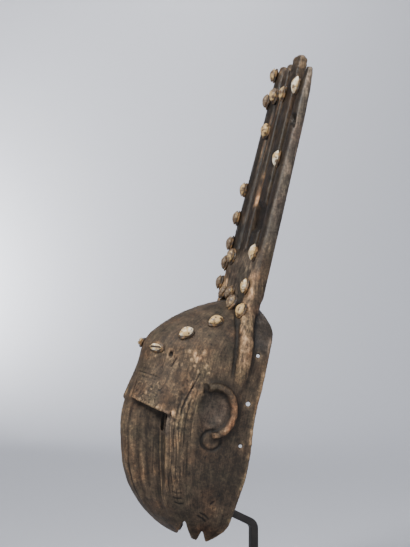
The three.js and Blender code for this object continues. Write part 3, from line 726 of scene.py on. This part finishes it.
def head_tones(skin):
    """The head's tones before any cut, each region over the ones before it."""
    face, over_edge = skin.face, skin.w - brow_edge(skin.angle)
    skin.give_tone("side", skin.side)
    skin.give_tone("face", face)
    skin.give_tone("nose", skin.part("nose", face))
    # The recess under the brow is darker: painted shade
    recess = skin.part("recess", face)
    skin.give_tone("recess", recess)
    brow_shadow = bell(over_edge + 7, 12) * recess
    skin.tone -= 0.05 * brow_shadow
    # Painted shade in the eye's slit
    skin.give_tone("eye", skin.part("eye", face))
    # A painted sheen: the strip beside the eye is greyed
    skin.greyer(skin.part("beside_eye", face))
    skin.give_tone("jaw", skin.part("jaw", skin.skin))
    cheek = stroke(skin.s, skin.w, skin.turned(CHEEK_LINE), CHEEK_TONE_HALF) * face
    skin.give_tone("cheek", cheek)
    brow = brow_share(skin)
    skin.set_tone(brow, TONE["brow"] + skin.part("brow_end", 0.08))
    brow_lip = under(over_edge, 3, 9)
    skin.tone += brow * 0.08 * brow_lip
    skin.give_tone("forehead", skin.part("forehead", skin.skin))
    skin.give_tone("temple", skin.part("temple", skin.skin) * 0.7)
    for light, at, wide, height, tall in FACE_WEAR:
        skin.tone += light * skin.skin * bell(skin.angle - at, wide) * bell(skin.w - height, tall)
    skin.give_tone("crown", skin.part("crown", skin.skin))
    skin.give_tone("inside", skin.hollow)


def crest_tones(skin):
    """Dark glossy slats over a greyer board, paler towards its foot as painted light, between weathered outer
    horns.
    """
    crest = skin.crest
    skin.give_tone("crest", crest)
    front = crest * over(skin.faces_f, 0.25, 0.6)
    skin.give_tone("crest_front", front)
    skin.glossier(skin.part("slats", front * 0.8))
    # The board at the comb's foot: paler with painted light, and greyer
    board = skin.part("board", front)
    skin.tone += board * (0.03 + 0.2 * skin.fine + 0.16 * skin.lumps)
    skin.greyer(board * 0.7)
    outer = crest * over(np.abs(skin.faces_x), 0.45, 0.75) * (skin.beside > HORN_FROM)
    skin.set_tone(outer, skin.tone_of("outer_horn") + 0.1 * skin.lumps)
    skin.greyer(skin.part("weathered_horn", outer))


def carve_face(skin):
    s, w, face = skin.s, skin.w, skin.face
    for points, half, deep, shade in FACE_CUTS:
        skin.line(s, w, skin.turned(points), half, deep, shade, face)
    for points, half, rise, light in FACE_RIDGES:
        skin.line(s, w, skin.turned(points), half, -rise, -light, face)


def carve_cheek(skin):
    """Worn stripes along the cheek, rougher towards its top, and cracks among them."""
    s, w, face = skin.s, skin.w, skin.face
    cheek = stroke(s, w, skin.turned(CHEEK_LINE), CHEEK_STRIPE_HALF, 0.1) * face
    stripes = np.sin(s * 2.0 + skin.lumps * 2.0 + w * 0.02)
    stripes = stripes * (0.55 + 0.8 * skin.lumps) * under(w, 100, 125)
    skin.out += cheek * (stripes * 0.4 + skin.fibre * 0.55)
    skin.tone += cheek * (stripes * 0.08 + skin.fibre * 0.1)
    rough = skin.part("rough_cheek", cheek)
    skin.out += rough * skin.fine * 0.6
    skin.tone += rough * skin.fine * 0.16
    broken = face * np.clip(0.7 + skin.fine, 0, 1)
    for angle, low, high in CHEEK_CRACKS:
        points = skin.turned([(angle, low), (angle + 0.5, (low + high) / 2), (angle + 0.2, high)])
        skin.line(s, w, points, half=1.1, deep=0.9, shade=0.16, where=broken, ends=0.25)


def carve_brow(skin):
    """Scattered nicks on the brow and above it, and rows of fine cuts across the brow."""
    s, w = skin.s, skin.w
    brow = brow_share(skin) * (1 - 0.75 * over(skin.angle, *BROW_PATCH))
    above = skin.part("above_brow", skin.skin)
    chance = np.random.default_rng(NICK_SEED)
    for share, (low, high, count) in ((brow, BROW_NICKS), (above * 0.8, FOREHEAD_NICKS)):
        for _ in range(count):
            place, height = arc(chance.uniform(*NICK_ANGLES)), chance.uniform(low, high)
            tilt, reach = chance.uniform(*NICK_TILT), chance.uniform(*NICK_REACH)
            points = [(place - tilt, height - reach), (place + tilt, height + reach)]
            shade = chance.uniform(*NICK_SHADE)
            deep = NICK_DEEP if shade > NICK_DARK else -NICK_RISE
            skin.line(s, w, points, chance.uniform(*NICK_HALF), deep, shade, share, ends=0)
    broken = brow * (0.6 + 0.8 * skin.fine)
    for row in range(BROW_ROWS):
        rise = row * BROW_ROW_STEP
        points = [(at, float(brow_edge(at)) + BROW_FIRST_ROW + rise) for at in BROW_ROW_ANGLES]
        skin.line(s, w, skin.turned(points), half=1.2, deep=0.5, shade=0.07, where=broken)


def carve_spots(skin):
    """The pit with its pale lip, the bare front corner of the brow, and the flecks."""
    face = skin.face
    pit = np.hypot((skin.s - arc(PIT[0])) / PIT_SIZE[0], (skin.w - PIT[1]) / PIT_SIZE[1])
    skin.out -= 2.6 * under(pit, 0.3, 1.2) * face
    skin.tone -= 0.35 * under(pit, 0.6, 1.3) * face
    skin.tone += 0.14 * bell(pit - 1.8, 0.4) * face
    skin.tone += skin.part("brow_front", 0.3) * face
    skin.spots(FLECKS, tall=1.5, light=0.4, edge=(0.55, 1.05))
    skin.spots(CORNER_FLECKS, tall=1.3, light=0.2, edge=(0.5, 1.3))


def carve_ear(skin):
    """The raised C of the ear, worn red, its grey inside, and the ring cut round its lower end."""
    f, w, side = skin.f, skin.w, skin.side
    ear_f, ear_w = (f - EAR_MIDDLE[0]) / EAR_SIZE[0], (w - EAR_MIDDLE[1]) / EAR_SIZE[1]
    reach = np.hypot(ear_f, ear_w)
    turn = np.degrees(np.arctan2(-ear_f, ear_w))
    ridge = bell(reach - 1, EAR_RIDGE_SPREAD) * over(turn, *EAR_START) * under(turn, *EAR_END) * side
    ridge = np.maximum(ridge * over(skin.ratio, *EAR_STANDS), ridge * 0.4)
    low_end = bell(turn - EAR_LOW_END, EAR_LOW_SPREAD)
    lit = bell(reach - 0.95, 0.12) * over(turn, *EAR_LIT)
    ear_tone = TONE["ear"] + 0.06 * over(turn, -10, 25) + 0.13 * low_end + 0.1 * lit
    skin.set_tone(ridge, ear_tone + 0.16 * skin.fine + 0.12 * skin.lumps)
    skin.redder(0.7 * ridge * over(turn, *EAR_RED) * (1 - 0.8 * low_end))
    inner = under(reach, 0.55, 0.95) * side
    skin.give_tone("ear_inside", inner)
    skin.greyer(inner * 0.7)
    around = bell(reach - 0.8, 0.09) * side * (1 - ridge)
    skin.tone -= 0.1 * around
    from_ring = np.hypot(f - EAR_RING[0], w - EAR_RING[1]) - EAR_RING_RADIUS
    skin.tone -= 0.14 * bell(from_ring, 2.8) * side
    skin.out -= 0.8 * bell(from_ring, 1.8) * side


def carve_horn_root(skin):
    """The outer horn's root down the side, bare along its ridge, with painted shade in front of it, and the
    dark glossy wood behind it, greyed as a painted sheen.
    """
    f, w, crest = skin.f, skin.w, skin.crest
    wide = skin.beside > HORN_ROOT_FROM
    root = over(skin.ratio, *ROOT_STANDS) * (f > ROOT_BACK) * (f < ROOT_FRONT) * over(w, *ROOT_FOOT) * wide
    root = root * (1 - skin.hollow) * (w < ROOT_TOP)
    at_root = np.maximum(root * (1 - crest), crest * wide * under(w, *ROOT_INTO_HORN))
    from_ridge = f - ROOT_RIDGE + ROOT_RIDGE_BACK * over(w, *ROOT_RIDGE_TURN)
    bare = at_root * bell(from_ridge, ROOT_RIDGE_SPREAD) * over(w, *ROOT_BARE)
    skin.give_tone("horn_root", at_root)
    skin.tone += bare * (0.2 + 0.08 * over(w, 255, 290) + 0.12 * skin.fine + 0.06 * skin.lumps)
    skin.grey *= 1 - at_root
    skin.gloss *= 1 - at_root
    skin.redder(at_root * 0.15)
    skin.out += at_root * skin.fibre * 0.6
    skin.tone += at_root * skin.fibre * 0.14
    behind = skin.part("behind_root", skin.side) * (1 - root)
    skin.give_tone("behind_root", behind)
    # Painted shade along the front of the horn's root
    stain = skin.part("stain", skin.side)
    skin.tone -= stain * np.clip(0.1 + 0.1 * skin.lumps, 0, 1)
    skin.glossier(behind)
    # The greyer colour behind the root is a painted sheen on the dark glossy wood
    skin.greyer(behind * 0.8)


def carve_rim(skin):
    """The worn strip along the rim, its sawn edge, and the worn and reddish patches of the side and jaw."""
    f, w, side = skin.f, skin.w, skin.side
    strip = side * bell(f - skin.rim - STRIP_MIDDLE, STRIP_SPREAD) * under(w, *STRIP_TOP)
    strip_tone = skin.tone_of("strip") + 0.12 * over(w, 150, 190)
    skin.set_tone(strip * np.clip(0.8 + skin.lumps, 0, 1), strip_tone + 0.3 * skin.fine)
    for light, at, wide, height, tall in SIDE_WEAR:
        skin.tone += light * side * bell(f - at, wide) * bell(w - height, tall)
    edge = (np.abs(f - skin.rim) < 1.2) * (w < RIM_EDGE_TOP) * (1 - skin.crest)
    skin.give_tone("edge", edge * 0.7)
    skin.tone += skin.part("low_patch", side) * (0.11 + 0.16 * skin.fine)
    lobe = skin.part("lobe", skin.skin)
    skin.tone += lobe * (0.02 + 0.12 * skin.fine)
    skin.redder(lobe * 0.8)


def carve_side(skin):
    for points, half, deep, shade in SIDE_CUTS:
        skin.line(skin.f, skin.w, points, half, deep, shade, skin.side)
    carve_ear(skin)
    carve_horn_root(skin)
    carve_rim(skin)


def carve_crest(skin):
    """Fibres, bare strips between the slats, a hollow darkened with painted shade, the horn's slit and knot,
    and worn tips.
    """
    x, f, w, crest = skin.x, skin.f, skin.w, skin.crest
    skin.out += crest * (skin.fibre * 0.14 - skin.lumps * 0.1)
    skin.tone += crest * skin.fibre * 0.09
    front = crest * over(skin.faces_f, 0.0, 0.4)
    for points, half, light in CREST_MARKS:
        share = stroke(x, w, points, half, 0.2) * front
        skin.tone += light * share * (0.85 + 0.7 * skin.fine)
        skin.redder(share * 0.5)
        skin.gloss *= 1 - share
    # Painted shade in the hollow between the slats
    skin.tone -= 0.14 * skin.part("slat_hollow", front)
    away = OFF_THE_HORN * (x < HORN_FACE_FROM)
    slit = np.hypot((f - HORN_SLIT[0]) / HORN_SLIT_SIZE[0], (w - HORN_SLIT[1]) / HORN_SLIT_SIZE[1]) + away
    skin.out -= 3.8 * under(slit, 0.4, 1.3) * crest
    skin.tone -= 0.6 * under(slit, 0.6, 1.3) * crest
    knot = np.hypot((f - HORN_KNOT[0]) / HORN_KNOT_SIZE[0], (w - HORN_KNOT[1]) / HORN_KNOT_SIZE[1]) + away
    skin.tone += 0.16 * bell(knot - 1, 0.35) * crest - 0.1 * bell(knot, 0.6) * crest
    tips = skin.part("tips", crest)
    skin.out += tips * skin.fine
    skin.tone += tips * (0.14 + 0.2 * skin.fine)


def relaxed(co, edges, rounds):
    """Points moved again and again to the middle of their neighbours."""
    first, second = edges.T
    count = np.bincount(first, minlength=len(co)) + np.bincount(second, minlength=len(co))
    for _ in range(rounds):
        sums = [
            np.bincount(first, co[second, k], len(co)) + np.bincount(second, co[first, k], len(co))
            for k in range(3)
        ]
        co = np.stack(sums, axis=1) / count[:, None]
    return co


# Edges that stand out are worn pale, and dips get painted shade: how much a millimetre counts, and the limits
RELAX_ROUNDS = 12
WEAR_AND_SHADE_PER_MM, WEAR_AND_SHADE_LIMITS = 0.26, (-0.12, 0.15)
# The grain's place across, so that it differs on the crest and on the right side
CREST_GRAIN_SHIFT, CREST_GRAIN_TURN, RIGHT_GRAIN_SHIFT = 300, 0.8, 200


def carve(piece):
    """Cuts the marks of the knife and the wear into the mask, paints shade into its dips, and keeps its tones
    for the paint.
    """
    skin = Skin(piece.data)
    head_tones(skin)
    crest_tones(skin)
    carve_face(skin)
    carve_cheek(skin)
    carve_brow(skin)
    carve_spots(skin)
    carve_side(skin)
    carve_crest(skin)
    skin.co += skin.normal * (skin.out / MM)[:, None]
    evened = relaxed(skin.co, edges_of(piece.data), RELAX_ROUNDS)
    standing = ((skin.co - evened) * skin.normal).sum(axis=1) * MM
    # Pale wear on edges that stand out, and painted shade in the dips
    edge_wear_and_dip_shade = np.clip(standing * WEAR_AND_SHADE_PER_MM, *WEAR_AND_SHADE_LIMITS)
    tone = skin.tone + edge_wear_and_dip_shade * (1 - 0.7 * skin.hollow) * (1 - 0.45 * skin.crest)
    on_crest = skin.x + skin.f * CREST_GRAIN_TURN + CREST_GRAIN_SHIFT
    across = np.where(skin.crest > 0.3, on_crest, skin.s + RIGHT_GRAIN_SHIFT * (skin.x < 0))
    piece.data.vertices.foreach_set("co", skin.co.ravel())
    keep_look(piece.data, "place", across, skin.w, np.clip(skin.gloss, 0, 1))
    keep_look(piece.data, "tone", np.clip(tone, 0, 1), np.clip(skin.red, 0, 1), np.clip(skin.grey, 0, 1))
    piece.data.update()


WOOD_GRAIN = 0.00135
WOOD_TRIANGLES = 192000
WOOD_SOFTENING = {"factor": 0.5, "iterations": 9}


def mask_wood():
    piece = copy_of("mask", "mask_wood")
    finish_with(piece, "REMESH", mode="VOXEL", voxel_size=WOOD_GRAIN, adaptivity=0.0)
    finish_with(piece, "SMOOTH", **WOOD_SOFTENING)
    carve(piece)
    triangles = len(piece.data.polygons) * 2
    finish_with(piece, "DECIMATE", ratio=min(1.0, WOOD_TRIANGLES / triangles))
    shade_smooth(piece)
    piece.data.materials.append(wood_paint())
    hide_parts("mask")
    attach(piece, "root")


# A cowrie's half width, half thickness and half length, in millimetres, and its form
SHELL = (6.4, 4.5, 9.8)
SHELL_TAPER, SHELL_POINT, SHELL_BACK = 0.16, 0.3, 0.55
SHELL_LUMP, SHELL_LUMP_SHARE = 0.7, 0.035
SLIT_SPREAD, TEETH_ASIDE, TEETH_PITCH = 1.3, 2.2, 3.4
# The two shells with their slit out are smaller: their width, thickness and length against the others'
SLIT_OUT = {"forehead_cowrie_left_1", "forehead_cowrie_right_1"}
SLIT_OUT_SIZE = (0.72, 0.7, 0.9)
# Shells larger than the rest
LARGE = {"comb_cowrie_4": 1.25, "comb_cowrie_1": 1.1, "comb_cowrie_2": 1.1}
# How soiled each row of shells is, from clean to brown all over
FOREHEAD_DIRT = {"left": (0.05, 0.1, 0.3), "right": (0.15, 0.3, 0.4)}
COMB_DIRT = (0.05, 0.12, 0.15, -0.1, 0.7, 0.55, 0.85, 0.62, 0.45, 0.6, 0.8, 0.85, 0.7, 0.95, 0.95)
BASE_DIRT = (0.8, 0.7, 0.72, 0.3)
# A wax bed's half sizes, and its middle against the shell's, in millimetres
WAX_BED, WAX_BED_AT, WAX_LUMP_SHARE = (7.0, 2.9, 10.6), (0.6, 2.9, -0.4), 0.2


def dirt_of(node):
    *words, number = node.split("_")
    if words[0] == "forehead":
        return FOREHEAD_DIRT[words[-1]][int(number) - 1]
    return (COMB_DIRT if words[0] == "comb" else BASE_DIRT)[int(number) - 1]


def shell_mesh(slit_out, dirt, seed):
    """A cowrie about its middle, in millimetres: its length along z and its outer side along -y."""
    model = unit_ball(segments=40, rings=28)
    mesh = model.data
    co = points_of(mesh)
    x, y, z = co.T
    outer = y < 0
    pointed = np.maximum(1 - z**2, 1e-6) ** SHELL_POINT
    across, along = x * SHELL[0] * (1 + SHELL_TAPER * z) * pointed, z * SHELL[2]
    height = np.where(outer, y * SHELL[1], y * SHELL[1] * SHELL_BACK) * pointed
    ends = under(np.abs(z), 0.8, 1.0)
    slit = bell(across, SLIT_SPREAD) * ends
    tooth_rows = bell(np.abs(across) - TEETH_ASIDE, SLIT_SPREAD)
    teeth = np.clip(np.sin(along * TEETH_PITCH), 0, 1) * tooth_rows * ends
    if slit_out:
        wide, thick, long = SLIT_OUT_SIZE
        across, along = across * wide, along * long
        height = np.where(outer, height * thick + slit * 1.6 + teeth * 0.4, height)
    else:
        height -= np.where(outer, 0.5 * bell(z - 0.3, 0.4), 0)
    size = 1 + SHELL_LUMP_SHARE * ripple(co, SHELL_LUMP, seed, 2)
    mesh.vertices.foreach_set("co", np.stack([across * size, height * size, along], axis=1).ravel())
    shown = np.where(outer, np.clip(slit * 1.5 + teeth * 0.8, 0, 1), 0) * slit_out
    keep_look(mesh, "shell", shown, over(y, 0.3, 0.8), np.full(len(co), dirt))
    shade_smooth(model)
    bpy.data.objects.remove(model)
    return mesh


def cowrie_nodes():
    return sorted(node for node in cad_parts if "cowrie" in node)


def seat_of(node):
    """The matrix that takes a shell from its own millimetres to its seat on the wood."""
    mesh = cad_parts[node].data
    co = points_of(mesh)
    # The solid's broad flat side is the one that faces the wood
    totals = {}
    for face in mesh.polygons:
        key = tuple(round(c, 2) for c in face.normal)
        totals[key] = totals.get(key, 0) + face.area
    inward = Vector(max(totals, key=totals.get)).normalized()
    middle = Vector((co.min(0) + co.max(0)) / 2)
    # Its length is the way in which its points spread most, seen from that side
    flat = co - np.outer(co @ np.array(inward), np.array(inward))
    flat -= flat.mean(0)
    along = Vector(np.linalg.svd(flat, full_matrices=False)[2][0])
    if along.z < 0:
        along = -along
    aside = inward.cross(along).normalized()
    turn = Matrix((aside, inward, along)).transposed().to_4x4()
    return Matrix.Translation(middle) @ turn @ Matrix.Scale(1 / MM, 4)


def shells():
    paint = shell_paint()
    for number, node in enumerate(cowrie_nodes()):
        mesh = shell_mesh(node in SLIT_OUT, dirt_of(node), seed=2.0 + number * 4.3)
        mesh.transform(Matrix.Scale(LARGE.get(node, 1.0), 4))
        mesh.transform(seat_of(node))
        piece = link("shell_" + node.replace("_cowrie", ""), mesh)
        piece.data.materials.append(paint)
        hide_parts(node)
        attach(piece, "root")


def wax_beds():
    """A bed of dark wax round the foot of each shell."""
    beds = []
    for number, node in enumerate(cowrie_nodes()):
        bed = unit_ball(segments=28, rings=14)
        co = points_of(bed.data)
        size = 1 + WAX_LUMP_SHARE * ripple(co, SHELL_LUMP, 5.0 + number * 3.7, 2)
        co = co * WAX_BED * size[:, None] + WAX_BED_AT
        bed.data.vertices.foreach_set("co", co.ravel())
        bed.data.transform(seat_of(node))
        shade_smooth(bed)
        beds.append(bed)
    pick(beds[0])
    for bed in beds:
        bed.select_set(True)
    bpy.ops.object.join()
    piece = bpy.context.active_object
    piece.name = "wax_beds"
    piece.data.transform(piece.matrix_world)
    piece.matrix_world = Matrix.Identity(4)
    piece.data.materials.append(wax_paint())
    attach(piece, "root")


# The steel pieces: node, name, width of the broken edge in metres and its steps
STEEL = [("stand_rod", "steel_rod", 0.0008, 2), ("stand_foot", "steel_foot", 0.0012, 3)]
SHARP_EDGES = {"limit_method": "ANGLE", "angle_limit": math.radians(35)}
SMOOTH_ANGLE = math.radians(30)


def stand():
    paint = steel_paint()
    for node, name, width, steps in STEEL:
        piece = copy_of(node, name)
        finish_with(piece, "BEVEL", width=width, segments=steps, **SHARP_EDGES)
        pick(piece)
        bpy.ops.object.shade_smooth_by_angle(angle=SMOOTH_ANGLE)
        piece.data.materials.append(paint)
        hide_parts(node)
        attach(piece, "root")


# Directions as the camera sees them
AWAY = Vector((-math.sin(CAMERA_AZIMUTH), math.cos(CAMERA_AZIMUTH), 0))
RIGHT = Vector((math.cos(CAMERA_AZIMUTH), math.sin(CAMERA_AZIMUTH), 0))
MASK_MIDDLE = Vector((0, 0, 0.4))
# The floor reaches this far to each side and forward, and curves up behind the mask
FLOOR_REACH, WALL_TOP = 14, 5
CURVE_FROM, CURVE_RADIUS, CURVE_START, CURVE_STEPS = 2.2, 1.2, 0.1, 14
# Lamps round the mask: name, azimuth, elevation, distance, size, power, colour
LAMPS = [
    ("key", 32, 44, 2.2, 0.9, 62, (1.0, 0.98, 0.95)),
    ("fill", 105, 22, 2.6, 1.6, 24, (0.97, 0.98, 1.0)),
    ("top", 205, 62, 2.4, 1.2, 20, (0.95, 0.98, 1.0)),
]
# Lamps on the backdrop: name, place and aim as (right, away, height), size, power
WASHES = [
    ("wash", (-1.05, 2.75, 0.6), (-0.6, 3.2, 0.45), 0.25, 18),
    ("sky_wash", (-0.05, 2.5, 1.9), (-0.05, 3.4, 1.05), 0.4, 15),
]
AIR_COLOUR, AIR_STRENGTH = (0.86, 0.9, 1.0, 1), 0.5


def from_camera(right, away, height):
    """A point by how far it is right of the mask, behind it and above the floor."""
    return RIGHT * right + AWAY * away + Vector((0, 0, height))


def around_mask(azimuth, elevation, distance):
    a, e = math.radians(azimuth), math.radians(elevation)
    way = Vector((math.sin(a) * math.cos(e), -math.cos(a) * math.cos(e), math.sin(e)))
    return MASK_MIDDLE + way * distance


def backdrop():
    """A pale floor that curves up into a backdrop behind the mask."""
    deselect()
    bpy.ops.mesh.primitive_plane_add(size=1)
    floor = bpy.context.active_object
    floor.name = "floor"
    curve = [
        (CURVE_FROM + CURVE_RADIUS * math.sin(turn), CURVE_RADIUS - CURVE_RADIUS * math.cos(turn))
        for turn in np.linspace(CURVE_START, math.pi / 2, CURVE_STEPS)
    ]
    profile = [(-FLOOR_REACH, 0), (CURVE_FROM, 0), *curve, (CURVE_FROM + CURVE_RADIUS, WALL_TOP)]
    sides = (-FLOOR_REACH, FLOOR_REACH)
    vertices = [from_camera(side, away, height) for away, height in profile for side in sides]
    faces = [(i, i + 1, i + 3, i + 2) for i in range(0, len(vertices) - 2, 2)]
    floor.data.clear_geometry()
    floor.data.from_pydata(vertices, [], faces)
    shade_smooth(floor)
    floor.data.materials.append(studio_paint())


def lamp(name, place, aim, size, power, colour=(1, 1, 1)):
    data = bpy.data.lights.new(name, "AREA")
    data.shape = "DISK"
    data.size = size
    data.energy = power
    data.color = colour
    light = link(name, data)
    light.location = place
    light.rotation_euler = (aim - place).to_track_quat("-Z", "Y").to_euler()


def studio():
    backdrop()
    for name, azimuth, elevation, distance, size, power, colour in LAMPS:
        lamp(name, around_mask(azimuth, elevation, distance), MASK_MIDDLE, size, power, colour)
    for name, place, aim, size, power in WASHES:
        lamp(name, from_camera(*place), from_camera(*aim), size, power)
    world = bpy.data.worlds.new("studio_air")
    bpy.context.scene.world = world
    world.use_nodes = True
    air = world.node_tree.nodes["Background"].inputs
    air["Color"].default_value = AIR_COLOUR
    air["Strength"].default_value = AIR_STRENGTH


def camera():
    data = bpy.data.cameras.new("photo_camera")
    data.lens = CAMERA_LENS
    data.sensor_width = CAMERA_SENSOR
    data.clip_end = CAMERA_FAR
    view = link("photo_camera", data)
    view.location = from_camera(-CAMERA_ASIDE, 0, CAMERA_AIM_Z) - AWAY * CAMERA_DISTANCE
    view.rotation_euler = AWAY.to_track_quat("-Z", "Y").to_euler()
    bpy.context.scene.camera = view


camera()
mask_wood()
shells()
wax_beds()
stand()
studio()
